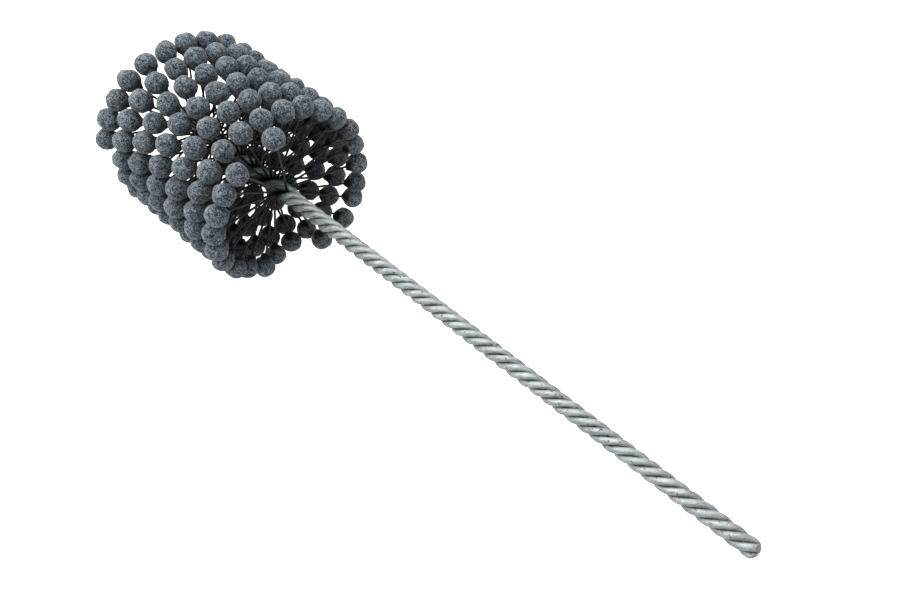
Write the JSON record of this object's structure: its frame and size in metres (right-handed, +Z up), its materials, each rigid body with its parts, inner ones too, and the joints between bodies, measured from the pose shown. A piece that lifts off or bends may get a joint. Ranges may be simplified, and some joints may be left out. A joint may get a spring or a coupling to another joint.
{
  "type": "flexible ball hone",
  "caption": "Flexible ball hone: a twisted steel wire stem carrying abrasive globules on nylon filaments, for honing cylinder bores.",
  "frame": {"origin": "centre of the shank's cut end, on the axis of the twisted stem", "axes": "+X out of the shank end along the stem, so the head lies at -X; +Z up, with the tool lying on its side on its head"},
  "size_m": [0.3436, 0.0967, 0.0967],
  "materials": {
    "stem_steel": "satin",
    "nylon": "satin",
    "abrasive": "matte"
  },
  "bodies": {
    "stem": {"wire_1": "stem_steel", "wire_2": "stem_steel", "wire_3": "stem_steel", "wire_4": "stem_steel", "filament_middles_1": "nylon", "filament_middles_2": "nylon", "filament_middles_3": "nylon", "filament_middles_4": "nylon"},
    "row_a": {"filament_arms_a_1": "nylon", "filament_arms_a_2": "nylon", "filament_arms_a_3": "nylon", "filament_arms_a_4": "nylon", "globules_a_1": "abrasive", "globules_a_2": "abrasive", "globules_a_3": "abrasive", "globules_a_4": "abrasive"},
    "row_b": {"filament_arms_b_1": "nylon", "filament_arms_b_2": "nylon", "filament_arms_b_3": "nylon", "filament_arms_b_4": "nylon", "globules_b_1": "abrasive", "globules_b_2": "abrasive", "globules_b_3": "abrasive", "globules_b_4": "abrasive"}
  },
  "joints": [
    {"name": "row_a_flex", "type": "hinge", "parent": "stem", "child": "row_a", "pos_m": [-0.293, 0, 0], "axis": [1, 0, 0], "range_deg": [-10, 10], "stiffness_Nm_per_rad": 0.8},
    {"name": "row_b_flex", "type": "hinge", "parent": "stem", "child": "row_b", "pos_m": [-0.293, 0, 0], "axis": [1, 0, 0], "range_deg": [-10, 10], "stiffness_Nm_per_rad": 0.8}
  ]
}
